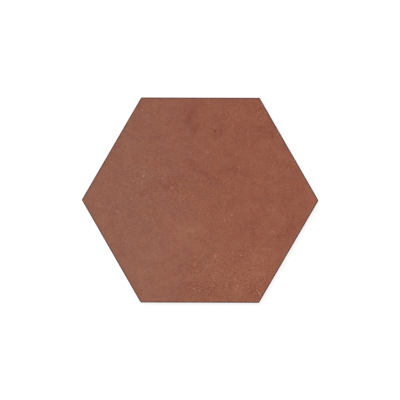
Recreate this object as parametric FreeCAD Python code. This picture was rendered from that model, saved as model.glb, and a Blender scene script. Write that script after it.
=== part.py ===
import FreeCAD, Part
import math
import os

# Hexagonal floor tile of terracotta-coloured porcelain stoneware, dry-pressed and fired in one piece.
# The tile lies on its back with the wearing face up. Lengths are millimetres. +Z is up, +X runs
# through two opposite corners, and the origin is on the bedding plane under the tile's centre.

# Format of the tile.
ACROSS_CORNERS = 250.0
THICKNESS = 9.0

# Pressed edge from the face down: a rounded arris, an upright land that meets the joint, a wall
# that leans in so that the tile leaves its die, and a small bevel round the back. The six upright
# corners are rounded in plan, and keep at least their core radius at every height.
ARRIS_RADIUS = 1.0
LAND_HEIGHT = 3.5
BACK_SETBACK = 0.6
BACK_BEVEL = 0.4
CORNER_CORE_RADIUS = 0.4

# Keyed back: a plain border, and inside it a honeycomb of drafted pockets that the adhesive fills.
BORDER_WIDTH = 7.0
POCKET_ROWS = 6
RIB_WIDTH = 2.6
POCKET_DEPTH = 0.7
POCKET_DRAFT_DEG = 40.0

UP = FreeCAD.Vector(0, 0, 1)
COS_30 = math.cos(math.radians(30))
ACROSS_FLATS = ACROSS_CORNERS * COS_30
BACK_ACROSS_FLATS = ACROSS_FLATS - 2 * (BACK_SETBACK + BACK_BEVEL)
LAND_CORNER_RADIUS = CORNER_CORE_RADIUS + max(ARRIS_RADIUS, BACK_SETBACK + BACK_BEVEL)


def regular_hexagon(across_flats, first_corner_deg, centre=FreeCAD.Vector(0, 0, 0)):
    """Corners of a regular hexagon in plan, anticlockwise from the given direction."""
    reach = across_flats / 2 / COS_30
    turns = [math.radians(first_corner_deg + 60 * k) for k in range(6)]
    return [centre + FreeCAD.Vector(math.cos(a), math.sin(a), 0) * reach for a in turns]


def sides(corners):
    """Each side of an anticlockwise outline as its first corner, unit direction and inward normal."""
    result = []
    for start, end in zip(corners, corners[1:] + corners[:1]):
        along = (end - start).normalize()
        result.append((start, along, UP.cross(along)))
    return result


def inset(corners, distance):
    """The same outline with every side moved inwards by a distance."""
    lines = sides(corners)
    moved = []
    for (_, arriving, _), (corner, leaving, inward) in zip(lines[-1:] + lines[:-1], lines):
        turn = arriving.getAngle(leaving)
        back_along = leaving * (distance * math.tan(turn / 2))
        moved.append(corner + inward * distance + back_along)
    return moved


def clipped(corners, fence):
    """The part of a convex outline that lies inside a convex fence."""
    tiny = 1e-7
    for point, _, inward in sides(fence):
        kept = []
        for before, corner in zip(corners[-1:] + corners[:-1], corners):
            depth_before = (before - point).dot(inward)
            depth = (corner - point).dot(inward)
            if min(depth, depth_before) < -tiny and max(depth, depth_before) > tiny:
                kept.append(before + (corner - before) * (depth_before / (depth_before - depth)))
            if depth >= -tiny:
                kept.append(corner)
        corners = kept
    return corners


def rounded_face(corners, radius, z):
    """A flat face at height z: the outline with each corner replaced by a tangent arc."""
    lift = UP * z
    lines = sides(corners)
    arcs = []
    for (_, arriving, _), (corner, leaving, inward) in zip(lines[-1:] + lines[:-1], lines):
        turn = arriving.getAngle(leaving)
        run = radius * math.tan(turn / 2)
        middle = (leaving - arriving).normalize() * (radius / math.cos(turn / 2) - radius)
        ends = (corner - arriving * run, corner + middle, corner + leaving * run)
        arcs.append(Part.Arc(*(end + lift for end in ends)))
    edges = []
    for arc, following in zip(arcs, arcs[1:] + arcs[:1]):
        edges.append(arc.toShape())
        edges.append(Part.LineSegment(arc.EndPoint, following.StartPoint).toShape())
    return Part.Face(Part.Wire(edges))


def moulded_solid(corners, radius, profile):
    """A solid whose edge has one profile all the way round a rounded outline.

    The profile is a list of curves from bottom to top, in which X is how far a point lies inside
    the outline. It is drawn out along each side and turned about the centre of each corner.
    """
    section = Part.Wire([curve.toShape() for curve in profile])
    lines = sides(corners)
    faces = []
    for k, (corner, along, inward) in enumerate(lines):
        arriving = lines[k - 1][1]
        next_corner = corners[(k + 1) % len(corners)]
        next_along = lines[(k + 1) % len(corners)][1]
        turn = arriving.getAngle(along)
        start = corner + along * (radius * math.tan(turn / 2))
        end = next_corner - along * (radius * math.tan(along.getAngle(next_along) / 2))
        placed = section.copy()
        placed.Placement = FreeCAD.Placement(start, FreeCAD.Rotation(inward, along * -1, UP, "XZY"))
        faces += placed.extrude(end - start).Faces
        faces += placed.revolve(start + inward * radius, UP, -math.degrees(turn)).Faces
    for point in (profile[0].StartPoint, profile[-1].EndPoint):
        faces.append(rounded_face(inset(corners, point.x), radius - point.x, point.z))
    shell = Part.makeCompound(faces)
    shell.sewShape()
    return Part.Solid(shell.Shells[0])


def line(start, end):
    """A straight stretch of a profile between two (inset, height) points."""
    return Part.LineSegment(FreeCAD.Vector(start[0], 0, start[1]), FreeCAD.Vector(end[0], 0, end[1]))


def pressed_body():
    """The tile without its keyed back, moulded from the profile of its pressed edge."""
    land_top = THICKNESS - ARRIS_RADIUS
    land_bottom = land_top - LAND_HEIGHT
    half_arris = ARRIS_RADIUS * (1 - math.sqrt(0.5))
    bevel = line((BACK_SETBACK + BACK_BEVEL, 0), (BACK_SETBACK, BACK_BEVEL))
    leaning_wall = line((BACK_SETBACK, BACK_BEVEL), (0, land_bottom))
    land = line((0, land_bottom), (0, land_top))
    arris = Part.Arc(
        FreeCAD.Vector(0, 0, land_top),
        FreeCAD.Vector(half_arris, 0, THICKNESS - half_arris),
        FreeCAD.Vector(ARRIS_RADIUS, 0, THICKNESS),
    )
    outline = regular_hexagon(ACROSS_FLATS, 0)
    return moulded_solid(outline, LAND_CORNER_RADIUS, [bevel, leaning_wall, land, arris])


def honeycomb_cells():
    """Outlines of the back's cells, each holding one pocket and half of the ribs round it.

    The outermost row is centred on the field's edge, so the field cuts its cells in half along
    the sides and in three at the corners, and the pattern closes alike on all six sides.
    """
    field_across_flats = BACK_ACROSS_FLATS - 2 * BORDER_WIDTH + RIB_WIDTH
    field = regular_hexagon(field_across_flats, 0)
    row_step = field_across_flats / 2 / POCKET_ROWS
    pitch = row_step / COS_30
    cells = []
    for row in range(-POCKET_ROWS, POCKET_ROWS + 1):
        last_column = 2 * POCKET_ROWS - abs(row)
        for column in range(last_column + 1):
            centre = FreeCAD.Vector((column - last_column / 2) * pitch, row * row_step, 0)
            cells.append(clipped(regular_hexagon(pitch, 30, centre), field))
    return cells


def pocket(cell):
    """One drafted pocket, drawn a little way past its mouth so that it cuts the back cleanly."""
    slope = math.tan(math.radians(POCKET_DRAFT_DEG))
    overshoot = POCKET_DEPTH / 2
    mouth = inset(cell, RIB_WIDTH / 2)
    outer = [corner - UP * overshoot for corner in inset(mouth, -overshoot * slope)]
    floor = [corner + UP * POCKET_DEPTH for corner in inset(mouth, POCKET_DEPTH * slope)]
    loops = [outer, floor]
    for k in range(len(cell)):
        loops.append([outer[k - 1], outer[k], floor[k], floor[k - 1]])
    shell = Part.makeCompound([Part.Face(Part.makePolygon(loop + loop[:1])) for loop in loops])
    shell.sewShape()
    return Part.Solid(shell.Shells[0])


def hexagon_tile():
    """The whole tile: the pressed body with the honeycomb of pockets sunk into its back."""
    return pressed_body().cut([pocket(cell) for cell in honeycomb_cells()])


tile = hexagon_tile()
assert tile.isValid() and len(tile.Solids) == 1
os.makedirs("parts", exist_ok=True)
tile.Solids[0].exportStep("parts/hexagon_tile.step")
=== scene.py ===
"""A hexagonal floor tile of matt terracotta-coloured porcelain, seen from straight above."""

import math

import bmesh
import bpy
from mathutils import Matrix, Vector


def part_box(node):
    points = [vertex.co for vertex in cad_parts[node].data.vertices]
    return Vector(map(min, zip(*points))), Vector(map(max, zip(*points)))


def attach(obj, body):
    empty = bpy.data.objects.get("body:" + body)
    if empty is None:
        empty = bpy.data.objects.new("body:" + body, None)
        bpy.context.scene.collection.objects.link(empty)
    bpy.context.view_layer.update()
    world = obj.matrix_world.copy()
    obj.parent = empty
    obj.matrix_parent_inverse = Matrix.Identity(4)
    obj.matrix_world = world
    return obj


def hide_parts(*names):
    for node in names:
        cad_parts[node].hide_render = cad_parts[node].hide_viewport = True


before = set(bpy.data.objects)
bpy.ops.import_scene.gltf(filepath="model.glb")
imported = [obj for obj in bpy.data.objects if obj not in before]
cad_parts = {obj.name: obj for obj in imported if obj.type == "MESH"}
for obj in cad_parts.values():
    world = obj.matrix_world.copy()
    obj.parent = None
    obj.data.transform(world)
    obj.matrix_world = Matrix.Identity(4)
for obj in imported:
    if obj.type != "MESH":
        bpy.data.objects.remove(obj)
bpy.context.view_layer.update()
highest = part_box("hexagon_tile")[1]

# Lengths are metres. Bearings are degrees from +X, which points at a corner, towards +Y.
MM = 0.001
COS_30 = math.cos(math.radians(30))

# The tile's size, from the frame.
THICKNESS = highest.z
APOTHEM = highest.y
ACROSS_CORNERS = 2 * APOTHEM / COS_30

# The pressed edge, from the face down. The corners are rounded in plan, and keep at least their
# core radius at every height.
ARRIS_RADIUS = 1.0 * MM
LAND_HEIGHT = 3.5 * MM
BACK_SETBACK = 0.6 * MM
BACK_BEVEL = 0.4 * MM
CORNER_CORE_RADIUS = 0.4 * MM
CORNER_RADIUS = CORNER_CORE_RADIUS + BACK_SETBACK + BACK_BEVEL
LAND_TOP = THICKNESS - ARRIS_RADIUS

# The keyed back: a border, and inside it a honeycomb of pockets with rounded lips and roots.
BORDER_WIDTH = 7.0 * MM
POCKET_ROWS = 6
RIB_WIDTH = 2.6 * MM
POCKET_DEPTH = 0.7 * MM
POCKET_DRAFT = math.radians(40)
POCKET_CORNER_RADIUS = 1.5 * MM
LIP_RADIUS = 0.25 * MM
ROOT_RADIUS = 0.35 * MM
FIELD_APOTHEM = APOTHEM - BACK_SETBACK - BACK_BEVEL - BORDER_WIDTH + RIB_WIDTH / 2
POCKET_PITCH = FIELD_APOTHEM / POCKET_ROWS / COS_30

# How finely the surfaces are divided, the narrow flats that a fillet starts and ends with, and
# how the parts of the mesh are joined and shaded.
FACE_SPANS = 140
CORNER_TURNS = 5
ARRIS_STEPS = 6
LAND_ROWS = 3
WALL_ROWS = 4
POCKET_TURNS = 3
FILLET_STEPS = 2
FILLET_FLAT = 0.08 * MM
WELD_DISTANCE = 0.001 * MM
SHARP_ANGLE = math.radians(30)

# Relief of the fired face, all of it down from the pressed plane: two waves of noise, each with
# a depth and a size, and pits. A point counts as on that plane above FACE_LEVEL of its height,
# and pits are tried at random, at PIT_TRIES places per square metre.
UNDULATION = 0.16 * MM
UNDULATION_SIZE = 42 * MM
PEEL = 0.045 * MM
PEEL_SIZE = 3.6 * MM
WAVE_DETAIL = 1.0
RELIEF_FADE = 3.5 * MM
FACE_LEVEL = 0.999
PIT_DEPTH = 0.36 * MM
PIT_SPACING = 22 * MM
PIT_SMALLEST = 0.7 * MM
PIT_LARGEST = 1.3 * MM
PIT_TRIES = 1e6
PIT_SEED = 11

# Marks of this tile's face, placed where the photo has them. Places are from the tile's centre,
# and places and sizes are millimetres. A tone below zero darkens, and one above it lightens. A
# share is how much of the mark's own colour shows.
CLOUDS = (
    # x, y, half length, half width, bearing, tone
    (-10, 86, 20, 13, 95, -0.50),
    (19, 74, 12, 10, 80, -0.36),
    (27, 60, 12, 7, 110, -0.24),
    (12, 60, 12, 8, 120, 0.22),
    (63, 74, 25, 18, 15, -0.42),
    (82, 73, 17, 11, -60, -0.22),
    (34, 31, 25, 11, 0, -0.38),
    (3, 28, 38, 9, -37, -0.42),
    (-73, -85, 12, 9, -60, -0.26),
    (-30, 16, 28, 15, 0, -0.30),
    (-34, -23, 17, 12, -30, 0.20),
    (67, 4, 19, 13, 0, -0.20),
    (37, -4, 13, 10, 0, -0.34),
    (52, -31, 23, 11, 0, -0.34),
    (-90, -23, 9, 9, 0, -0.32),
    (93, -30, 28, 16, 60, -0.36),
    (98, 4, 38, 17, 95, -0.24),
    (98, 31, 14, 9, 110, -0.30),
    (118, 3, 11, 12, 0, 0.32),
    (-11, -69, 20, 15, 0, -0.28),
    (-4, -96, 54, 16, 0, -0.42),
    (-62, -101, 14, 9, -30, -0.32),
    (58, -98, 14, 10, 30, -0.36),
    (62, -72, 7, 6, 0, -0.28),
    (16, 92, 10, 8, 90, 0.24),
    (-37, 92, 17, 10, 60, 0.22),
    (89, 53, 10, 8, 0, -0.28),
    (-65, 30, 14, 9, -20, 0.24),
    (-94, 33, 19, 6, -8, -0.20),
    (-76, -52, 15, 10, 40, -0.26),
    (-71, -14, 30, 10, -26, -0.24),
    (-12, -30, 26, 15, 15, 0.46),
    (-12, -46, 30, 12, -10, 0.24),
    (-57, -70, 26, 13, 65, 0.18),
    (20, -65, 20, 13, 80, 0.30),
    (62, -59, 20, 13, 60, 0.24),
    (57, -78, 19, 13, 40, 0.38),
    (39, -91, 18, 12, 90, 0.40),
    (74, 57, 11, 8, 0, 0.16),
    (18, -8, 15, 8, 20, -0.26),
    (-57, 12, 15, 10, 0, -0.32),
)
PALE_GRAINS = (
    # x, y, reach, share
    (-60.0, 25.2, 1.7, 1.0),
    (-61.6, 17.7, 1.5, 0.6),
    (-30.2, 13.0, 1.6, 0.95),
    # The speck beside the pit at (-89.4, -14.3) is a painted highlight on the pit's lit wall.
    (-87.0, -12.3, 2.1, 0.7),
    (-50.1, -20.7, 1.5, 0.5),
    (-42.6, -39.8, 1.3, 0.7),
    (-34.2, 32.0, 1.3, 0.55),
    (-40.0, 23.0, 1.3, 0.55),
    (-72.2, 0.8, 1.3, 0.65),
    (-107.4, -2.9, 1.2, 0.5),
    (-8.0, 4.0, 1.3, 0.55),
    (-8.2, -33.2, 1.4, 0.55),
    (-5.1, -67.2, 2.1, 0.4),
    (-1.7, -92.1, 1.2, 0.95),
    (-0.3, -95.2, 1.5, 0.65),
    (7.8, 50.4, 1.2, 0.6),
    (14.5, -90.2, 1.3, 0.6),
    (16.2, -58.7, 1.9, 0.75),
    (26.2, -21.3, 1.8, 0.6),
    (30.2, -12.8, 1.3, 0.45),
    (33.1, -15.8, 1.6, 0.65),
    (34.4, -55.3, 1.4, 0.65),
    (38.4, -70.6, 1.4, 0.55),
    (37.3, -83.4, 1.5, 0.6),
    (40.4, 2.8, 1.5, 0.45),
    (50.2, 70.2, 1.8, 0.4),
    (53.2, -52.9, 1.6, 0.65),
    (60.6, -82.6, 1.4, 0.6),
    (66.2, -63.4, 1.5, 0.45),
    (67.0, -78.2, 1.5, 0.45),
    (76.7, -32.7, 1.4, 0.6),
    (93.2, 13.7, 1.3, 0.4),
    (100.8, -3.4, 1.3, 0.45),
)
# The pits that this tile shows. They are sunk into the relief, and their dark middles are painted
# shade.
DARK_PITS = (
    # x, y, half length, half width, bearing, share
    (15.9, 72.6, 2.3, 1.1, 90, 1.0),
    (-89.4, -14.3, 1.8, 1.6, 0, 0.1),
    (16.1, -64.7, 2.0, 1.5, 20, 0.3),
    (75.9, 69.3, 1.6, 1.2, -60, 0.6),
)
COARSE_PATCHES = (
    # x, y, half length, half width, bearing, how much coarser
    (32, -86, 80, 44, 4, 0.85),
    (-30, 8, 85, 34, -5, 0.35),
    (72, 80, 34, 26, -60, 0.4),
    (-10, 62, 110, 46, 0, -0.16),
)
SCRATCHES = (
    # x and y of the arc's centre, its radius, the bearing of its middle, half its sweep, its tone
    (56.4, 71.0, 6.5, 180, 42, 0.65),
    (59.0, 78.4, 8.4, 270, 42, 0.6),
    (61.1, 67.8, 13.4, 78, 24, 0.5),
    (66.0, 8.0, 60.0, 274, 5.5, 1.0),
    (13.4, -132.2, 60.0, 35, 5.5, 1.5),
    (65.6, -117.9, 40.0, 90, 7.0, 0.6),
    (30.0, -70.1, 40.0, -22.4, 10.0, 0.5),
    (59.5, 34.0, 40.0, 33, 7.0, 0.35),
    (-84.0, -40.0, 7.0, 110, 45, -0.35),
    (-84.0, -40.0, 4.0, 100, 50, -0.3),
)

# How the finishes below are written. A noise is a size, with its detail and roughness where they
# aren't the usual ones. A swing is a noise about zero, with its reach after its size. A drift
# moves a pattern about, and is a size and a reach. A range is where a value starts and ends, and
# what it comes to there if that isn't 0 and 1.
DRIFT_DETAIL = 1.5

# The face's tone: how much paler it gets per metre along X and Y, how far the outlines of its
# clouds wander, and its mottling.
TONE_SLOPE = Vector((0.6, -1.0, 0))
CLOUD_DRIFT = (24 * MM, 22 * MM)
MOTTLING = ((28 * MM, 0.09), (18 * MM, 0.12), (9 * MM, 0.10), (4.5 * MM, 0.12))

# Dark strokes drawn across the face at a slant, and the oval in which they are strongest, as its
# place, half sizes and bearing.
STROKE_BEARING = -25
STROKE_DRAWN_OUT = 8.5
STROKE_DRIFT = (24 * MM, 10 * MM)
STROKE_NOISE = (3.2 * MM, 0.5)
STROKE_RANGE = (0.45, 0.33)
STROKE_TONE = -0.23
STROKED_AREA = (-62, 50, 85, 60, -30)
STROKES_ELSEWHERE = 0.15

# The face's sand and how coarse its grain is, and the thin scratches through it.
SAND = ((2.6 * MM, 0.31, 1.0, 0.6), (1.2 * MM, 0.65, 1.0, 0.6))
USUAL_COARSENESS = 0.65
LEAST_COARSENESS = 0.3
COARSENESS_SWING = (22 * MM, 0.25, 1.0)
SCRATCH_WIDTH = 0.9 * MM
SCRATCH_DRIFT = (6 * MM, 2.4 * MM)

# The face reddens from left to right. It has a touch of ochre too, with more of it at the bottom.
MIDDLE_REDNESS = 0.63
REDDENING_BEARING = 8
REDDENING_LENGTH = 150 * MM
REDNESS_SWING = (26 * MM, 0.12, 3.0)
REDNESS_RANGE = (0.0, 1.0, 0.1, 0.9)
RED_MOTTLING = ((10.5 * MM, 0.2), (5.5 * MM, 0.12))
OCHRE_NOISE = (12 * MM, 3.0, 0.6)
OCHRE_RANGE = (0.35, 0.7, 0.0, 0.12)
OCHRE_AREA = (-4, -88, 75, 42, 0, 0.06)

# Pale grains and dark pores at random, on the face and in the bare body of the edge and the back.
# Each scatter is its spacing, the reach of the largest, and how rare the strong ones are. The
# offset and the stretch keep grains and pores from falling in the same places.
FACE_GRAINS = (2.9 * MM, 1.4 * MM, 2.4)
FACE_PORES = (3.4 * MM, 1.4 * MM, 4.2)
BODY_GRAINS = (3.1 * MM, 1.3 * MM, 2.6)
BODY_PORES = (2.6 * MM, 1.2 * MM, 2.4)
GRAIN_DRIFT = (1.4 * MM, 1.6 * MM)
SCATTERED_SHARE = 0.76
FACE_GRAIN_COVER = 0.66
BODY_GRAIN_COVER = 0.4
PORE_COVER = 0.45
PORE_OFFSET = (0.3, 0.1, 0)
BODY_GRAIN_STRETCH = 1.17

# The painted shade in a pit by its depth, and the painted shade line and the dust along the
# arris by how far in from the land they lie.
PIT_SHADE_RANGE = (0.25, 0.95, 0.0, 0.4)
ARRIS_SWING = (7 * MM, 0.25 * MM, 3.0)
ARRIS_DUST_RANGE = (1.0 * MM, 2.6 * MM, 0.4, 0.0)
ARRIS_SHADE_RANGE = (0.6 * MM, 1.7 * MM, 0.95, 0.0)

# The usual tone of the bare body, on the edge and on the back.
BODY_TONE = 0.6

# The bare edge: its upright draw lines, its mottling and grain, and the painted shade of the
# arris, which reaches down onto the top of the land.
DRAW_LINE_WIDTH = 0.9 * MM
DRAW_LINE_STRETCH = (1, 1, 0.12)
DRAW_LINE_TONE = 0.14
EDGE_SWING = (5 * MM, 0.16, 3.0)
EDGE_GRAIN_NOISE = (0.8 * MM, 3.0, 0.7)
EDGE_GRAIN_TONE = 0.24
ARRIS_SHADE_RUN_SWING = (4 * MM, 0.25 * MM, 3.0)
ARRIS_SHADE_RUN_RANGE = (LAND_TOP - 0.7 * MM, LAND_TOP + 0.2 * MM, 0.0, 0.8)

# The back: its mottling and grain, and the kiln wash, which covers some places more than others,
# is dusty, and gets thinner with the height above the ribs.
BACK_MOTTLING = ((30 * MM, 0.24, 4.0, 0.6), (0.8 * MM, 0.5, 4.0, 0.75))
WASH_COVER_NOISE = (34 * MM, 3.0, 0.6)
WASH_COVER_RANGE = (0.34, 0.62, 0.3, 1.0)
WASH_DUST_NOISE = (1.5 * MM, 5.0, 0.8)
WASH_DUST_RANGE = (0.3, 0.72)
WASH_HEIGHT_RANGE = (0.05 * MM, 0.4 * MM, 0.6, 0.03)

# How matt the clay is, and the fine relief of each finish, which only tilts the light.
CLAY_SPECULAR = 0.2
SHEEN_SIZE = 5 * MM
FACE_ROUGHNESS_RANGE = (0.3, 0.7, 0.68, 0.8)
EDGE_ROUGHNESS = 0.82
BACK_ROUGHNESS = 0.86
BUMP_STRENGTH = 0.5
FACE_BUMP_NOISE = (0.9 * MM, 4.0, 0.65)
BACK_BUMP_NOISE = (0.9 * MM, 5.0, 0.75)
FACE_BUMP_DEPTH = 0.08 * MM
EDGE_BUMP_DEPTH = 0.14 * MM
BACK_BUMP_DEPTH = 0.2 * MM

# How the photo was taken: its side, the tile's size across corners and the tile's middle in
# pixels, the tile's turn, and the lens and its sensor in millimetres.
PHOTO_SIDE = 400
TILE_IN_PHOTO = 236.9
TILE_X_IN_PHOTO = 200.10
TILE_Y_IN_PHOTO = 200.14
TILE_TURN_IN_PHOTO = math.radians(0.17)
LENS = 100
SENSOR = 36

# The studio: its floor, the strength of its white surround, and its soft lamps, each with a name,
# the direction that it shines from, and its strength.
FLOOR_HALF = 3.0
FLOOR_GAP = 0.05 * MM
FLOOR_COLOUR = (0.32, 0.32, 0.32, 1)
FLOOR_GLOW = 0.78
WHITE = (1, 1, 1, 1)
SURROUND = 0.55
LAMP_ANGLE = math.radians(35)
SOFTBOXES = (
    ("upper_softbox", (-0.45, 0.5, 1.0), 1.75),
    ("lower_softbox", (0.5, -0.5, -1.0), 1.2),
)


def srgb(red, green, blue):
    """A colour given as it looks on screen, from 0 to 255, as the linear values shaders use."""
    shares = [channel / 255 for channel in (red, green, blue)]
    linear = [s / 12.92 if s <= 0.04045 else ((s + 0.055) / 1.055) ** 2.4 for s in shares]
    return (*linear, 1.0)


# Colours of the fired clay and of the painted shade in the pits and along the arris. The sand
# lifts a colour by the step from dark to pale sand.
DARK_BROWN = srgb(122, 70, 62)
PALE_BROWN = srgb(160, 112, 89)
DARK_RED = srgb(123, 59, 48)
PALE_RED = srgb(161, 101, 76)
DARK_SAND = srgb(138, 84, 66)
PALE_SAND = srgb(158, 104, 86)
SAND_LIFT = Vector(PALE_SAND[:3]) - Vector(DARK_SAND[:3])
GRAIN_COLOUR = srgb(196, 142, 124)
PORE_AND_PIT_SHADE_COLOUR = srgb(98, 46, 30)
OCHRE = srgb(156, 102, 60)
ARRIS_SHADE_COLOUR = srgb(84, 38, 22)
DUSTY_COLOUR = srgb(134, 99, 91)
BODY_COLOUR = srgb(146, 99, 80)
BODY_DARK = srgb(118, 78, 64)
KILN_WASH = srgb(196, 172, 154)


def picked(sockets, key):
    """The socket with a given name or place among those in use."""
    used = [socket for socket in sockets if socket.enabled]
    return used[key] if isinstance(key, int) else next(s for s in used if s.name == key)


class Nodes:
    """Writes one node tree. Most methods add a node, feed it and give back what comes out."""

    def __init__(self, tree):
        self.tree = tree

    def feed(self, socket, source):
        """Links an input to what comes out of another node, or sets it to a value."""
        if isinstance(source, bpy.types.NodeSocket):
            self.tree.links.new(source, socket)
        else:
            socket.default_value = source

    def add(self, kind, feeds=None, output=0, **settings):
        """Adds a node. Feeds are sockets or values, or lists of them, by input name or place."""
        made = self.tree.nodes.new(kind)
        for name, value in settings.items():
            setattr(made, name, value)
        for key, value in (feeds or {}).items():
            for source in value if isinstance(value, list) else [value]:
                self.feed(picked(made.inputs, key), source)
        return picked(made.outputs, output)

    def end(self, kind, result):
        """Ends the tree in a node that takes its result, and gives the tree back."""
        self.feed(self.tree.nodes.new(kind).inputs[0], result)
        return self.tree

    def math(self, operation, *values):
        """One step of arithmetic."""
        return self.add("ShaderNodeMath", dict(enumerate(values)), operation=operation)

    def chain(self, operation, *values):
        """The same step of arithmetic from each value to the next."""
        result = values[0]
        for value in values[1:]:
            result = self.math(operation, result, value)
        return result

    def total(self, *values):
        """The sum of several values."""
        return self.chain("ADD", *values)

    def product(self, *values):
        """Several values multiplied together."""
        return self.chain("MULTIPLY", *values)

    def vector(self, operation, *vectors):
        """One step of arithmetic on vectors that gives a vector."""
        return self.add("ShaderNodeVectorMath", dict(enumerate(vectors)), operation=operation)

    def scaled(self, vector, factor):
        """A vector times a number."""
        feeds = {"Vector": vector, "Scale": factor}
        return self.add("ShaderNodeVectorMath", feeds, operation="SCALE")

    def measure(self, operation, *vectors):
        """One step of arithmetic on vectors that gives a number."""
        feeds = dict(enumerate(vectors))
        return self.add("ShaderNodeVectorMath", feeds, "Value", operation=operation)

    def dot(self, first, second):
        """How far one vector reaches along another, times the length of that other."""
        return self.measure("DOT_PRODUCT", first, second)

    def height(self, vector):
        """The Z of a place or a direction."""
        return self.add("ShaderNodeSeparateXYZ", {"Vector": vector}, "Z")

    def ease(self, value, start, end, first=0.0, last=1.0):
        """Goes smoothly from first to last while the value goes from start to end."""
        feeds = {
            "Value": value,
            "From Min": start,
            "From Max": end,
            "To Min": first,
            "To Max": last,
        }
        return self.add("ShaderNodeMapRange", feeds, interpolation_type="SMOOTHSTEP")

    def fade(self, value):
        """One where the value is nothing, fading smoothly to nothing where it is one."""
        return self.ease(value, 0.0, 1.0, 1.0, 0.0)

    def noise(self, place, size, detail=2.0, roughness=0.5, output=0):
        """Soft noise with features of a given size, about 0.5 all over."""
        feeds = {"Vector": place, "Scale": 1 / size, "Detail": detail, "Roughness": roughness}
        return self.add("ShaderNodeTexNoise", feeds, output)

    def swing(self, noise, reach):
        """Noise as a value that swings about zero, by about the reach either way.

        Noise itself mostly stays within a quarter of 0.5."""
        return self.product(self.math("SUBTRACT", noise, 0.5), reach * 4)

    def swings(self, place, *kinds):
        """Swinging noises of several kinds, as a list."""
        return [self.swing(self.noise(place, size, *kind), reach) for size, reach, *kind in kinds]

    def drifted(self, place, size, reach):
        """The place, moved about by noise of a given size, by at most about half the reach."""
        noise = self.noise(place, size, DRIFT_DETAIL, output="Color")
        drift = self.vector("SUBTRACT", noise, (0.5, 0.5, 0.5))
        return self.vector("ADD", place, self.scaled(drift, reach))

    def mix(self, share, first, second):
        """Goes from the first colour to the second as the share goes from 0 to 1."""
        feeds = {"Factor": share, "A": first, "B": second}
        return self.add("ShaderNodeMix", feeds, data_type="RGBA")


def new_tree(kind, name, output, inputs):
    """A node tree with one output and named inputs, each given as its kind of socket.

    Gives back its nodes and its inputs' sockets."""
    tree = bpy.data.node_groups.new(name, kind)
    tree.interface.new_socket("Result", in_out="OUTPUT", socket_type="NodeSocket" + output)
    for label, socket in inputs.items():
        tree.interface.new_socket(label, in_out="INPUT", socket_type="NodeSocket" + socket)
    return Nodes(tree), tree.nodes.new("NodeGroupInput").outputs


def apply_tree(holder, tree, values):
    """Puts a Geometry Nodes tree on an object and sets its inputs by name."""
    modifier = holder.modifiers.new(tree.name, "NODES")
    modifier.node_group = tree
    for item in tree.interface.items_tree:
        if item.name in values:
            modifier[item.identifier] = values[item.name]


def empty_nodes(owner):
    """The nodes of a new material or world, without those that it starts with."""
    owner.use_nodes = True
    owner.node_tree.nodes.clear()
    return Nodes(owner.node_tree)


def mesh_object(mesh):
    """An object for a mesh, with the mesh's name. It isn't in the scene yet."""
    return bpy.data.objects.new(mesh.name, mesh)


def into_scene(thing):
    """Puts an object into the scene and gives it back."""
    bpy.context.scene.collection.objects.link(thing)
    return thing


# Places and outlines in plan


def direction(bearing):
    """The unit vector that a bearing points along."""
    angle = math.radians(bearing)
    return Vector((math.cos(angle), math.sin(angle), 0))


def millimetres(x, y):
    """A place in plan, given in millimetres from the tile's centre."""
    return Vector((x * MM, y * MM, 0))


def hexagon(apothem, first_corner):
    """Corners of a regular hexagon about the origin, anticlockwise from a bearing."""
    return [direction(first_corner + 60 * k) * apothem / COS_30 for k in range(6)]


def outward(start, end):
    """The unit normal that points out of an anticlockwise outline along one side."""
    along = (end - start).normalized()
    return Vector((along.y, -along.x, 0))


def with_neighbours(corners):
    """Each corner of an outline between the one before it and the one after it."""
    return list(zip(corners[-1:] + corners[:-1], corners, corners[1:] + corners[:1]))


def inset(corners, distance):
    """The same outline with every side moved inwards by a distance."""
    moved = []
    for before, corner, after in with_neighbours(corners):
        bisector = outward(before, corner) + outward(corner, after)
        moved.append(corner - bisector * (2 * distance / bisector.length_squared))
    return moved


def rounded_rim(core, spans, turns):
    """The hub and outward direction of each point of a rim that is rounded about a core outline.

    Each side of the core is cut into spans and each corner is turned in steps. A point of the rim
    lies at its hub plus its direction times the corner radius, so rims of all radii match."""
    rim = []
    for before, corner, after in with_neighbours(core):
        arriving = outward(before, corner)
        leaving = outward(corner, after)
        rim += [(corner, arriving.slerp(leaving, step / turns)) for step in range(turns)]
        rim += [(corner.lerp(after, step / spans), leaving) for step in range(spans)]
    return rim


class Shell:
    """Collects the points, faces and loose edges of one surface."""

    def __init__(self):
        self.points = []
        self.faces = []
        self.edges = []

    def add(self, points):
        """Adds points and gives back their numbers."""
        first = len(self.points)
        self.points += points
        return list(range(first, len(self.points)))

    def ring(self, rim, radius, height):
        """Adds the points of a rim at one radius and height."""
        lift = Vector((0, 0, height))
        return self.add([hub + out * radius + lift for hub, out in rim])

    def bridge(self, lower, upper):
        """Joins two anticlockwise loops, with faces that look outwards where lower is below upper.

        Where a loop names one point twice in a row, its face is a triangle."""
        for k in range(len(lower)):
            corners = (lower[k - 1], lower[k], upper[k], upper[k - 1])
            self.faces.append(list(dict.fromkeys(corners)))

    def mesh(self, name):
        """The surface as a mesh."""
        made = bpy.data.meshes.new(name)
        made.from_pydata([tuple(point) for point in self.points], self.edges, self.faces)
        return made


# The pressed blank


def lattice_point(ring, side, step):
    """The number of a lattice point, counted ring by ring from the centre."""
    if ring == 0:
        return 0
    return 1 + 3 * ring * (ring - 1) + (side * ring + step) % (6 * ring)


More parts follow.
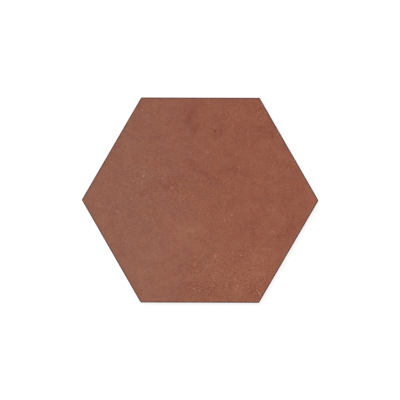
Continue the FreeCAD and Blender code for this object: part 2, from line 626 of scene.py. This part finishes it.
def add_face_lattice(shell, corners):
    """Adds the flat part of the wearing face as even triangles. Gives back its outer loop."""
    lift = Vector((0, 0, THICKNESS))
    shell.add([lift])
    for ring in range(1, FACE_SPANS + 1):
        share = ring / FACE_SPANS
        for _, corner, after in with_neighbours(corners):
            shell.add([corner.lerp(after, k / ring) * share + lift for k in range(ring)])
        for side in range(6):
            for step in range(ring):
                outer = lattice_point(ring, side, step)
                inner = lattice_point(ring - 1, side, step)
                shell.faces.append((outer, lattice_point(ring, side, step + 1), inner))
                if step < ring - 1:
                    beside = lattice_point(ring - 1, side, step + 1)
                    shell.faces.append((inner, lattice_point(ring, side, step + 1), beside))
    outermost = []
    for side in range(6):
        outermost += [lattice_point(FACE_SPANS, side, 0)] * CORNER_TURNS
        outermost += [lattice_point(FACE_SPANS, side, step) for step in range(FACE_SPANS)]
    return outermost


def edge_profile():
    """Insets and heights of the pressed edge, from the start of the arris down to the back."""
    land_bottom = LAND_TOP - LAND_HEIGHT
    profile = []
    for k in range(ARRIS_STEPS + 1):
        turn = math.radians(90) * k / ARRIS_STEPS
        height = LAND_TOP + ARRIS_RADIUS * math.cos(turn)
        profile.append((ARRIS_RADIUS * (1 - math.sin(turn)), height))
    for k in range(1, LAND_ROWS + 1):
        profile.append((0, LAND_TOP - LAND_HEIGHT * k / LAND_ROWS))
    for k in range(1, WALL_ROWS + 1):
        share = k / WALL_ROWS
        profile.append((BACK_SETBACK * share, land_bottom + (BACK_BEVEL - land_bottom) * share))
    profile.append((BACK_SETBACK + BACK_BEVEL, 0))
    return profile


def field_outline():
    """The outer edge of the honeycomb, with a point where each rib's middle line meets it."""
    corners = hexagon(FIELD_APOTHEM, 0)
    side = (corners[1] - corners[0]).length
    points = []
    for _, corner, after in with_neighbours(corners):
        points.append(corner)
        for k in range(POCKET_ROWS):
            points.append(corner.lerp(after, (k + 0.5) * POCKET_PITCH / side))
    return points


def pressed_blank():
    """The tile's face, edge and back border, open where the honeycomb goes."""
    core = hexagon(APOTHEM - CORNER_RADIUS, 0)
    rim = rounded_rim(core, FACE_SPANS, CORNER_TURNS)
    shell = Shell()
    upper = add_face_lattice(shell, core)
    for distance, height in edge_profile():
        lower = shell.ring(rim, CORNER_RADIUS - distance, height)
        shell.bridge(lower, upper)
        upper = lower
    field = shell.add(field_outline())
    shell.edges = list(zip(field, field[1:] + field[:1]))
    mesh = shell.mesh("pressed_blank")
    form = bmesh.new()
    form.from_mesh(mesh)
    loose = [edge for edge in form.edges if edge.is_boundary or edge.is_wire]
    bmesh.ops.triangle_fill(form, use_beauty=True, edges=loose, normal=(0, 0, -1))
    form.to_mesh(mesh)
    form.free()
    return into_scene(mesh_object(mesh))


# The keyed back


def pocket_profile():
    """Insets from a pocket's mouth and heights, from the flat of the rib to the floor."""
    slope = math.radians(90) - POCKET_DRAFT
    run = POCKET_DEPTH / math.tan(slope)
    lip = LIP_RADIUS * math.tan(slope / 2)
    root = ROOT_RADIUS * math.tan(slope / 2)
    turns = [slope * k / FILLET_STEPS for k in range(FILLET_STEPS + 1)]
    profile = [(-lip - FILLET_FLAT, 0)]
    for turn in turns:
        profile.append((LIP_RADIUS * math.sin(turn) - lip, LIP_RADIUS * (1 - math.cos(turn))))
    for turn in reversed(turns):
        height = POCKET_DEPTH - ROOT_RADIUS * (1 - math.cos(turn))
        profile.append((run + root - ROOT_RADIUS * math.sin(turn), height))
    return [*profile, (run + root + FILLET_FLAT, POCKET_DEPTH)]


def pocket_patch(name, outline):
    """One cell of the back, from the middle of its ribs down into its pocket."""
    core = inset(outline, RIB_WIDTH / 2 + POCKET_CORNER_RADIUS)
    rim = rounded_rim(core, 1, POCKET_TURNS)
    shell = Shell()
    corners = shell.add(outline)
    outer = [corner for corner in corners for _ in range(POCKET_TURNS + 1)]
    for distance, height in pocket_profile():
        inner = shell.ring(rim, POCKET_CORNER_RADIUS - distance, height)
        shell.bridge(inner, outer)
        outer = inner
    shell.faces.append(outer[::-1])
    return mesh_object(shell.mesh(name))


def pocket_patches():
    """The whole cell, and what is left of it at a side and at a corner of the back.

    The edge of the field runs through the centres of the cells that it cuts."""
    corners = hexagon(POCKET_PITCH / 2, 30)
    middles = [direction(60 * k) * POCKET_PITCH / 2 for k in range(6)]
    side = [middles[2], *corners[2:5], middles[5]]
    corner = [Vector((0, 0, 0)), middles[2], *corners[2:4], middles[4]]
    outlines = {"Whole Pocket": corners, "Side Pocket": side, "Corner Pocket": corner}
    return {name: pocket_patch(name, outline) for name, outline in outlines.items()}


def honeycomb_tree(back_finish):
    """Lays the cells out in a honeycomb: one in the middle, and six like sectors round it.

    A sector's rows run out from the middle. The last row has the cut cells of the side, and its
    first cell is the one at the corner. Rows and steps are whole numbers, so they are compared
    with halves."""
    names = ("Whole Pocket", "Side Pocket", "Corner Pocket")
    inputs = {"Geometry": "Geometry", "Rows": "Int", "Pitch": "Float", "Weld": "Float"}
    inputs.update(dict.fromkeys(names, "Object"))
    nodes, given = new_tree("GeometryNodeTree", "honeycomb_back", "Geometry", inputs)
    whole, side, corner = (
        nodes.add("GeometryNodeObjectInfo", {"Object": given[name]}, "Geometry")
        for name in names
    )
    rows, pitch = given["Rows"], given["Pitch"]
    index = nodes.add("GeometryNodeInputIndex")
    row = nodes.total(nodes.math("FLOOR", nodes.math("DIVIDE", index, rows)), 1)
    step = nodes.math("MODULO", index, rows)
    out = nodes.scaled(direction(0), nodes.product(row, pitch))
    place = nodes.vector("ADD", out, nodes.scaled(direction(120), nodes.product(step, pitch)))
    feeds = {"Count": nodes.product(rows, rows), "Offset": (0, 0, 0)}
    points = nodes.add("GeometryNodeMeshLine", feeds)
    points = nodes.add("GeometryNodeSetPosition", {"Geometry": points, "Position": place})

    in_last = nodes.math("GREATER_THAN", row, nodes.math("SUBTRACT", rows, 0.5))
    before_last = nodes.math("SUBTRACT", 1, in_last)
    at_start = nodes.math("LESS_THAN", step, 0.5)
    chosen = (
        (whole, nodes.product(before_last, nodes.math("LESS_THAN", step, row))),
        (side, nodes.product(in_last, nodes.math("SUBTRACT", 1, at_start))),
        (corner, nodes.product(in_last, at_start)),
    )
    sector = []
    for cell, selection in chosen:
        feeds = {"Points": points, "Selection": selection, "Instance": cell}
        sector.append(nodes.add("GeometryNodeInstanceOnPoints", feeds))
    turn = nodes.add("ShaderNodeCombineXYZ", {"Z": nodes.product(index, math.radians(60))})
    feeds = {
        "Points": nodes.add("GeometryNodeMeshLine", {"Count": 6, "Offset": (0, 0, 0)}),
        "Instance": nodes.add("GeometryNodeJoinGeometry", {"Geometry": sector}),
        "Rotation": nodes.add("FunctionNodeEulerToRotation", {0: turn}),
    }
    sectors = nodes.add("GeometryNodeInstanceOnPoints", feeds)
    feeds = {"Geometry": [given["Geometry"], whole, sectors]}
    joined = nodes.add("GeometryNodeJoinGeometry", feeds)
    plain = nodes.add("GeometryNodeRealizeInstances", {"Geometry": joined})
    feeds = {"Geometry": plain, "Distance": given["Weld"]}
    welded = nodes.add("GeometryNodeMergeByDistance", feeds)
    feeds = {"Geometry": welded, "Material": back_finish}
    return nodes.end("NodeGroupOutput", nodes.add("GeometryNodeSetMaterial", feeds))


# The fired surface


def pit_marks():
    """The pits that this tile shows, as points that know their reach."""
    shell = Shell()
    shell.add([Vector((x * MM, y * MM, THICKNESS)) for x, y, *_ in DARK_PITS])
    mesh = shell.mesh("pit_marks")
    reach = mesh.attributes.new("reach", "FLOAT", "POINT")
    reach.data.foreach_set("value", [length * MM for _, _, length, *_ in DARK_PITS])
    return mesh_object(mesh)


def with_value(nodes, geometry, name, value):
    """The geometry, with a value of each of its points kept under a name."""
    feeds = {"Geometry": geometry, "Name": name, "Value": value}
    return nodes.add("GeometryNodeStoreNamedAttribute", feeds, data_type="FLOAT", domain="POINT")


def sampled(nodes, geometry, value, index, kind):
    """A value of one point of another geometry."""
    feeds = {"Geometry": geometry, "Value": value, "Index": index}
    return nodes.add("GeometryNodeSampleIndex", feeds, data_type=kind, domain="POINT")


def pit_shares(nodes, given, geometry, position, relief):
    """How deep each point lies in the pit that is nearest to it, from 0 to 1.

    Pits are scattered at random where there is relief, and this tile's own ones are added."""
    feeds = {
        "Mesh": geometry,
        "Selection": relief,
        "Distance Min": given["Pit Spacing"],
        "Density Max": PIT_TRIES,
        "Seed": given["Seed"],
    }
    pits = nodes.add("GeometryNodeDistributePointsOnFaces", feeds, distribute_method="POISSON")
    feeds = {"Min": given["Smallest Pit"], "Max": given["Largest Pit"], "Seed": given["Seed"]}
    pits = with_value(nodes, pits, "reach", nodes.add("FunctionNodeRandomValue", feeds))
    marks = nodes.add("GeometryNodeObjectInfo", {"Object": given["Pit Marks"]}, "Geometry")
    marks = nodes.add("GeometryNodeMeshToPoints", {"Mesh": marks})
    pits = nodes.add("GeometryNodeJoinGeometry", {"Geometry": [pits, marks]})
    nearest = nodes.add("GeometryNodeSampleNearest", {"Geometry": pits})
    centre = sampled(nodes, pits, position, nearest, "FLOAT_VECTOR")
    reach = nodes.add("GeometryNodeInputNamedAttribute", {"Name": "reach"}, data_type="FLOAT")
    reach = sampled(nodes, pits, reach, nearest, "FLOAT")
    away = nodes.math("DIVIDE", nodes.measure("DISTANCE", position, centre), reach)
    return nodes.product(nodes.fade(away), relief)


def fired_surface_tree(face_finish, edge_finish):
    """Gives the face its undulation, peel and pits, and the face and the edge their finishes.

    It leaves two attributes for the finishes: how far in from the land a point lies, and how
    deep in a pit it is, from 0 to 1."""
    sizes = (
        "Apothem", "Face Height", "Arris", "Fade", "Undulation", "Undulation Size", "Peel",
        "Peel Size", "Pit Depth", "Pit Spacing", "Smallest Pit", "Largest Pit",
    )
    inputs = {"Geometry": "Geometry", **dict.fromkeys(sizes, "Float")}
    inputs.update({"Seed": "Int", "Pit Marks": "Object"})
    nodes, given = new_tree("GeometryNodeTree", "fired_surface", "Geometry", inputs)
    position = nodes.add("GeometryNodeInputPosition")
    height = nodes.height(position)
    # The sides lie square to these bearings and to their opposites.
    across = [nodes.dot(position, direction(bearing)) for bearing in (30, 90, 150)]
    reach = nodes.chain("MAXIMUM", *(nodes.math("ABSOLUTE", part) for part in across))
    inset_here = nodes.math("SUBTRACT", given["Apothem"], reach)
    geometry = with_value(nodes, given["Geometry"], "inset", inset_here)

    level = nodes.product(given["Face Height"], FACE_LEVEL)
    faded_in = nodes.ease(inset_here, given["Arris"], nodes.total(given["Arris"], given["Fade"]))
    relief = nodes.product(nodes.math("GREATER_THAN", height, level), faded_in)
    pit = pit_shares(nodes, given, geometry, position, relief)
    depths = []
    for wave in ("Undulation", "Peel"):
        scale = nodes.math("DIVIDE", 1, given[wave + " Size"])
        feeds = {"Vector": position, "Scale": scale, "Detail": WAVE_DETAIL}
        depths.append(nodes.product(nodes.add("ShaderNodeTexNoise", feeds), given[wave]))
    depths.append(nodes.product(pit, given["Pit Depth"]))
    drop = nodes.product(nodes.total(*depths), relief, -1)
    geometry = with_value(nodes, geometry, "pit", pit)
    feeds = {"Geometry": geometry, "Offset": nodes.add("ShaderNodeCombineXYZ", {"Z": drop})}
    geometry = nodes.add("GeometryNodeSetPosition", feeds)
    geometry = nodes.add("GeometryNodeRealizeInstances", {"Geometry": geometry})

    land_top = nodes.math("SUBTRACT", given["Face Height"], given["Arris"])
    above_land = nodes.math("GREATER_THAN", height, land_top)
    facing_down = nodes.math("LESS_THAN", nodes.height(nodes.add("GeometryNodeInputNormal")), 0)
    inside = nodes.math("GREATER_THAN", inset_here, given["Arris"])
    off_back = nodes.math("SUBTRACT", 1, nodes.product(facing_down, inside))
    for selection, finish in ((off_back, edge_finish), (above_land, face_finish)):
        feeds = {"Geometry": geometry, "Selection": selection, "Material": finish}
        geometry = nodes.add("GeometryNodeSetMaterial", feeds)
    return nodes.end("NodeGroupOutput", geometry)


# Finishes


def soft_spot_group():
    """One at the middle of an oval, fading to nothing at its rim.

    The oval's two axes come as vectors, each as long as one over the oval's reach along it."""
    inputs = dict.fromkeys(("Place", "Centre", "Long", "Wide"), "Vector")
    nodes, given = new_tree("ShaderNodeTree", "soft_spot", "Float", inputs)
    offset = nodes.vector("SUBTRACT", given["Place"], given["Centre"])
    shares = {"X": nodes.dot(offset, given["Long"]), "Y": nodes.dot(offset, given["Wide"])}
    away = nodes.measure("LENGTH", nodes.add("ShaderNodeCombineXYZ", shares))
    return nodes.end("NodeGroupOutput", nodes.fade(away))


def soft_spot(nodes, place, x, y, length, width, bearing):
    """One oval spot, with its place and half sizes in millimetres."""
    feeds = {
        "Place": place,
        "Centre": millimetres(x, y),
        "Long": direction(bearing) / (length * MM),
        "Wide": direction(bearing + 90) / (width * MM),
    }
    group = bpy.data.node_groups.get("soft_spot") or soft_spot_group()
    return nodes.add("ShaderNodeGroup", feeds, node_tree=group)


def soft_spots(nodes, place, marks):
    """The oval spots of a table as a list, each times the tone or share at the end of its row."""
    return [nodes.product(soft_spot(nodes, place, *oval), tone) for *oval, tone in marks]


def arc_scratch_group():
    """One along the middle of a thin arc, and nothing past its width and its ends."""
    inputs = {"Place": "Vector", "Centre": "Vector", "Radius": "Float", "Bearing": "Vector"}
    inputs.update({"End": "Float", "Width": "Float"})
    nodes, given = new_tree("ShaderNodeTree", "arc_scratch", "Float", inputs)
    spoke = nodes.vector("SUBTRACT", given["Place"], given["Centre"])
    off = nodes.math("SUBTRACT", nodes.measure("LENGTH", spoke), given["Radius"])
    across = nodes.fade(nodes.math("DIVIDE", nodes.math("ABSOLUTE", off), given["Width"]))
    facing = nodes.dot(nodes.vector("NORMALIZE", spoke), given["Bearing"])
    halfway = nodes.total(nodes.product(given["End"], 0.5), 0.5)
    along = nodes.ease(facing, given["End"], halfway)
    return nodes.end("NodeGroupOutput", nodes.product(across, along))


def arc_scratch(nodes, place, x, y, radius, bearing, half):
    """One thin arc, with the middle of its circle and its radius in millimetres."""
    feeds = {
        "Place": place,
        "Centre": millimetres(x, y),
        "Radius": radius * MM,
        "Bearing": direction(bearing),
        "End": math.cos(math.radians(half)),
        "Width": SCRATCH_WIDTH,
    }
    group = bpy.data.node_groups.get("arc_scratch") or arc_scratch_group()
    return nodes.add("ShaderNodeGroup", feeds, node_tree=group)


def scattered_specks(nodes, place, spacing, largest, rarity):
    """Specks scattered at random, most of them faint, from 0 to 1."""
    distance = nodes.add("ShaderNodeTexVoronoi", {"Vector": place, "Scale": 1 / spacing})
    colour = distance.node.outputs["Color"]
    luck = nodes.add("ShaderNodeSeparateColor", {"Color": colour}).node.outputs
    reach = nodes.ease(luck["Green"], 0.0, 1.0, largest / spacing / 2, largest / spacing)
    speck = nodes.fade(nodes.math("DIVIDE", distance, reach))
    return nodes.product(speck, nodes.math("POWER", luck["Red"], rarity))


def object_place(nodes):
    """The place on the tile, in metres from its origin."""
    return nodes.add("ShaderNodeTexCoord", output="Object")


def flat_place(nodes):
    """The place in plan, with no height, so that a pattern doesn't cut through relief."""
    return nodes.vector("MULTIPLY", object_place(nodes), (1, 1, 0))


def finish_clay(nodes, colour, roughness, relief, depth):
    """Ends a material in matt clay with a fine relief of a given depth."""
    feeds = {"Height": relief, "Strength": BUMP_STRENGTH, "Distance": depth}
    bump = nodes.add("ShaderNodeBump", feeds)
    feeds = {
        "Base Color": colour,
        "Roughness": roughness,
        "Specular IOR Level": CLAY_SPECULAR,
        "Normal": bump,
    }
    nodes.end("ShaderNodeOutputMaterial", nodes.add("ShaderNodeBsdfPrincipled", feeds))


def coarseness(nodes, place):
    """How coarse the face's grain is here: patches of it are sandier than the rest."""
    parts = [
        USUAL_COARSENESS,
        *nodes.swings(place, COARSENESS_SWING),
        *soft_spots(nodes, place, COARSE_PATCHES),
    ]
    return nodes.math("MAXIMUM", nodes.total(*parts), LEAST_COARSENESS)


def brush_strokes(nodes, place):
    """Long dark strokes at a slant, strongest at the upper left, from 0 to 1."""
    bent = nodes.drifted(place, *STROKE_DRIFT)
    along = nodes.dot(bent, direction(STROKE_BEARING) / STROKE_DRAWN_OUT)
    across = nodes.dot(bent, direction(STROKE_BEARING + 90))
    drawn_out = nodes.add("ShaderNodeCombineXYZ", {"X": along, "Y": across})
    strokes = nodes.ease(nodes.noise(drawn_out, *STROKE_NOISE), *STROKE_RANGE)
    area = nodes.total(STROKES_ELSEWHERE, soft_spot(nodes, place, *STROKED_AREA))
    return nodes.product(strokes, area)


def face_tone(nodes, place):
    """How pale the wearing face is, from 0 to 1 and about 0.5 all over."""
    parts = [
        nodes.dot(place, TONE_SLOPE),
        *soft_spots(nodes, nodes.drifted(place, *CLOUD_DRIFT), CLOUDS),
        *nodes.swings(place, *MOTTLING),
        nodes.product(brush_strokes(nodes, place), STROKE_TONE),
    ]
    # Tones from -1 to 1 become shares from 0 to 1.
    return nodes.math("MULTIPLY_ADD", nodes.total(*parts), 0.5, 0.5)


def sand_and_scratches(nodes, place, coarse):
    """How far the fine sand and the scratches lift the colour, about zero, dark below it."""
    parts = [nodes.product(nodes.total(*nodes.swings(place, *SAND)), coarse)]
    shaken = nodes.drifted(place, *SCRATCH_DRIFT)
    for *arc, tone in SCRATCHES:
        parts.append(nodes.product(arc_scratch(nodes, shaken, *arc), tone))
    return nodes.total(*parts)


def face_redness(nodes, place):
    """How red the clay is, from 0 at the left to 1 at the right."""
    rise = nodes.product(nodes.dot(place, direction(REDDENING_BEARING)), 1 / REDDENING_LENGTH)
    wavy = nodes.total(MIDDLE_REDNESS, rise, *nodes.swings(place, REDNESS_SWING))
    return nodes.total(nodes.ease(wavy, *REDNESS_RANGE), *nodes.swings(place, *RED_MOTTLING))


def ochre_tint(nodes, place):
    """The share of ochre in the clay: faint mottling, and a little more of it at the bottom."""
    mottling = nodes.ease(nodes.noise(place, *OCHRE_NOISE), *OCHRE_RANGE)
    return nodes.total(mottling, *soft_spots(nodes, place, [OCHRE_AREA]))


def pale_grains(nodes, place, coarse):
    """Specks of pale grog: the ones that this tile shows, and a scatter of fainter ones."""
    shaken = nodes.drifted(place, *GRAIN_DRIFT)
    scatter = scattered_specks(nodes, shaken, *FACE_GRAINS)
    scatter = nodes.product(coarse, SCATTERED_SHARE, scatter)
    round_ones = [(x, y, reach, reach, 0, share) for x, y, reach, share in PALE_GRAINS]
    shown = nodes.chain("MAXIMUM", scatter, *soft_spots(nodes, shaken, round_ones))
    return nodes.math("MINIMUM", shown, 1.0)


def painted_pit_shade(nodes, place):
    """The painted shade that darkens the middles of the pits that this tile shows."""
    return nodes.math("MINIMUM", nodes.total(*soft_spots(nodes, place, DARK_PITS)), 1.0)


def wearing_face():
    """The matt face: clouded brown to red clay, pale grains, and painted shade in its pits and on
    its arris.
    """
    material = bpy.data.materials.new("wearing_face")
    nodes = empty_nodes(material)
    place = flat_place(nodes)
    coarse = coarseness(nodes, place)
    redness = face_redness(nodes, place)
    dark = nodes.mix(redness, DARK_BROWN, DARK_RED)
    pale = nodes.mix(redness, PALE_BROWN, PALE_RED)
    colour = nodes.mix(face_tone(nodes, place), dark, pale)
    sand = sand_and_scratches(nodes, place, coarse)
    colour = nodes.vector("MULTIPLY_ADD", sand, SAND_LIFT, colour)
    pores = scattered_specks(nodes, nodes.vector("ADD", place, PORE_OFFSET), *FACE_PORES)
    pit = nodes.add("ShaderNodeAttribute", output="Fac", attribute_name="pit")
    inset_here = nodes.add("ShaderNodeAttribute", output="Fac", attribute_name="inset")
    from_land = nodes.total(inset_here, *nodes.swings(place, ARRIS_SWING))
    # Over the clay lie ochre, pores, grains, painted shade in the pits, dust, and painted shade
    # along the arris.
    layers = (
        (ochre_tint(nodes, place), OCHRE),
        (nodes.product(pores, PORE_COVER), PORE_AND_PIT_SHADE_COLOUR),
        (nodes.product(pale_grains(nodes, place, coarse), FACE_GRAIN_COVER), GRAIN_COLOUR),
        (nodes.ease(pit, *PIT_SHADE_RANGE), PORE_AND_PIT_SHADE_COLOUR),
        (painted_pit_shade(nodes, place), PORE_AND_PIT_SHADE_COLOUR),
        (nodes.ease(from_land, *ARRIS_DUST_RANGE), DUSTY_COLOUR),
        (nodes.ease(from_land, *ARRIS_SHADE_RANGE), ARRIS_SHADE_COLOUR),
    )
    for share, over in layers:
        colour = nodes.mix(share, colour, over)
    roughness = nodes.ease(nodes.noise(place, SHEEN_SIZE), *FACE_ROUGHNESS_RANGE)
    finish_clay(nodes, colour, roughness, nodes.noise(place, *FACE_BUMP_NOISE), FACE_BUMP_DEPTH)
    return material


def bare_clay(nodes, place, tone):
    """The colour of the bare body on the edge and the back, with open pores and grains."""
    colour = nodes.mix(tone, BODY_DARK, BODY_COLOUR)
    pores = scattered_specks(nodes, place, *BODY_PORES)
    grains = scattered_specks(nodes, nodes.scaled(place, BODY_GRAIN_STRETCH), *BODY_GRAINS)
    colour = nodes.mix(nodes.product(pores, PORE_COVER), colour, PORE_AND_PIT_SHADE_COLOUR)
    return nodes.mix(nodes.product(grains, BODY_GRAIN_COVER), colour, GRAIN_COLOUR)


def pressed_edge():
    """The bare edge: fired clay with the die's faint upright draw lines and open pores."""
    material = bpy.data.materials.new("pressed_edge")
    nodes = empty_nodes(material)
    place = object_place(nodes)
    drawn = nodes.vector("MULTIPLY", place, DRAW_LINE_STRETCH)
    lines = nodes.noise(drawn, DRAW_LINE_WIDTH)
    grain = nodes.noise(place, *EDGE_GRAIN_NOISE)
    tones = [
        BODY_TONE,
        nodes.swing(lines, DRAW_LINE_TONE),
        *nodes.swings(place, EDGE_SWING),
        nodes.swing(grain, EDGE_GRAIN_TONE),
    ]
    colour = bare_clay(nodes, place, nodes.total(*tones))
    # The painted shade of the arris reaches down onto the top of the land, to an uneven height.
    uneven_height = nodes.total(nodes.height(place), *nodes.swings(place, ARRIS_SHADE_RUN_SWING))
    colour = nodes.mix(nodes.ease(uneven_height, *ARRIS_SHADE_RUN_RANGE), colour, ARRIS_SHADE_COLOUR)
    relief = nodes.product(nodes.total(lines, grain), 0.5)
    finish_clay(nodes, colour, EDGE_ROUGHNESS, relief, EDGE_BUMP_DEPTH)
    return material


def keyed_back():
    """The back: bare fired clay, with a dust of kiln wash on the ribs and the border."""
    material = bpy.data.materials.new("keyed_back")
    nodes = empty_nodes(material)
    place = flat_place(nodes)
    tone = nodes.total(BODY_TONE, *nodes.swings(place, *BACK_MOTTLING))
    colour = bare_clay(nodes, place, tone)
    wash = nodes.product(
        nodes.ease(nodes.noise(place, *WASH_COVER_NOISE), *WASH_COVER_RANGE),
        nodes.ease(nodes.noise(place, *WASH_DUST_NOISE), *WASH_DUST_RANGE),
        nodes.ease(nodes.height(object_place(nodes)), *WASH_HEIGHT_RANGE),
    )
    colour = nodes.mix(wash, colour, KILN_WASH)
    relief = nodes.noise(place, *BACK_BUMP_NOISE)
    finish_clay(nodes, colour, BACK_ROUGHNESS, relief, BACK_BUMP_DEPTH)
    return material


# The tile


def fired_tile():
    """The whole tile as one closed mesh with its finishes."""
    holder = pressed_blank()
    patches = pocket_patches()
    marks = pit_marks()
    layout = {"Rows": POCKET_ROWS, "Pitch": POCKET_PITCH, "Weld": WELD_DISTANCE, **patches}
    apply_tree(holder, honeycomb_tree(keyed_back()), layout)
    sizes = {
        "Apothem": APOTHEM,
        "Face Height": THICKNESS,
        "Arris": ARRIS_RADIUS,
        "Fade": RELIEF_FADE,
        "Undulation": UNDULATION,
        "Undulation Size": UNDULATION_SIZE,
        "Peel": PEEL,
        "Peel Size": PEEL_SIZE,
        "Pit Depth": PIT_DEPTH,
        "Pit Spacing": PIT_SPACING,
        "Smallest Pit": PIT_SMALLEST,
        "Largest Pit": PIT_LARGEST,
        "Seed": PIT_SEED,
        "Pit Marks": marks,
    }
    apply_tree(holder, fired_surface_tree(wearing_face(), pressed_edge()), sizes)
    graph = bpy.context.evaluated_depsgraph_get()
    mesh = bpy.data.meshes.new_from_object(
        holder.evaluated_get(graph), preserve_all_data_layers=True, depsgraph=graph)
    for spare in (holder, marks, *patches.values()):
        bpy.data.meshes.remove(spare.data)
    mesh.name = "terracotta_tile"
    # The blank had no finish, which leaves an empty first slot.
    mesh.materials.pop(index=0)
    mesh.shade_smooth()
    mesh.set_sharp_from_angle(angle=SHARP_ANGLE)
    return into_scene(mesh_object(mesh))


# The studio


def studio_floor():
    """A pale floor that takes the tile's shadow, and is clear from below.

    It throws no soft light up at the tile, and keeps none from it."""
    shell = Shell()
    plan = ((-1, -1), (1, -1), (1, 1), (-1, 1))
    points = [Vector((x * FLOOR_HALF, y * FLOOR_HALF, -FLOOR_GAP)) for x, y in plan]
    shell.faces.append(shell.add(points))
    floor = into_scene(mesh_object(shell.mesh("studio_floor")))
    floor.visible_diffuse = False
    floor.visible_shadow = False
    material = bpy.data.materials.new("studio_floor")
    nodes = empty_nodes(material)
    lit = nodes.add("ShaderNodeBsdfDiffuse", {"Color": FLOOR_COLOUR})
    glow = nodes.add("ShaderNodeEmission", {"Color": WHITE, "Strength": FLOOR_GLOW})
    pale = nodes.add("ShaderNodeAddShader", {0: lit, 1: glow})
    clear = nodes.add("ShaderNodeBsdfTransparent")
    underside = nodes.add("ShaderNodeNewGeometry", output="Backfacing")
    surface = nodes.add("ShaderNodeMixShader", {0: underside, 1: pale, 2: clear})
    nodes.end("ShaderNodeOutputMaterial", surface)
    floor.data.materials.append(material)


def studio_light():
    """An even white surround with two soft lamps, the weaker of them for the back."""
    world = bpy.data.worlds.new("studio")
    bpy.context.scene.world = world
    nodes = empty_nodes(world)
    surround = nodes.add("ShaderNodeBackground", {"Color": WHITE, "Strength": SURROUND})
    white = nodes.add("ShaderNodeBackground", {"Color": WHITE, "Strength": 1.0})
    path = nodes.add("ShaderNodeLightPath").node.outputs
    seen = nodes.total(path["Is Camera Ray"], path["Is Glossy Ray"], path["Is Transmission Ray"])
    surface = nodes.add("ShaderNodeMixShader", {0: seen, 1: surround, 2: white})
    nodes.end("ShaderNodeOutputWorld", surface)
    for name, source, strength in SOFTBOXES:
        lamp = bpy.data.lights.new(name, "SUN")
        lamp.angle = LAMP_ANGLE
        lamp.energy = strength
        softbox = into_scene(bpy.data.objects.new(name, lamp))
        softbox.rotation_euler = Vector(source).to_track_quat("Z", "Y").to_euler()


def photo_camera():
    """The camera straight above the tile, as in the photo."""
    pixel = ACROSS_CORNERS / TILE_IN_PHOTO
    middle = PHOTO_SIDE / 2
    camera = into_scene(bpy.data.objects.new("camera", bpy.data.cameras.new("camera")))
    camera.data.lens = LENS
    camera.data.sensor_width = SENSOR
    camera.location = (
        (middle - TILE_X_IN_PHOTO) * pixel,
        (TILE_Y_IN_PHOTO - middle) * pixel,
        LAND_TOP + PHOTO_SIDE * pixel * LENS / SENSOR,
    )
    camera.rotation_euler = (0, 0, TILE_TURN_IN_PHOTO)
    bpy.context.scene.camera = camera


tile = fired_tile()
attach(tile, "root")
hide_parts("hexagon_tile")
studio_floor()
studio_light()
photo_camera()
bpy.context.scene.view_settings.view_transform = "Standard"
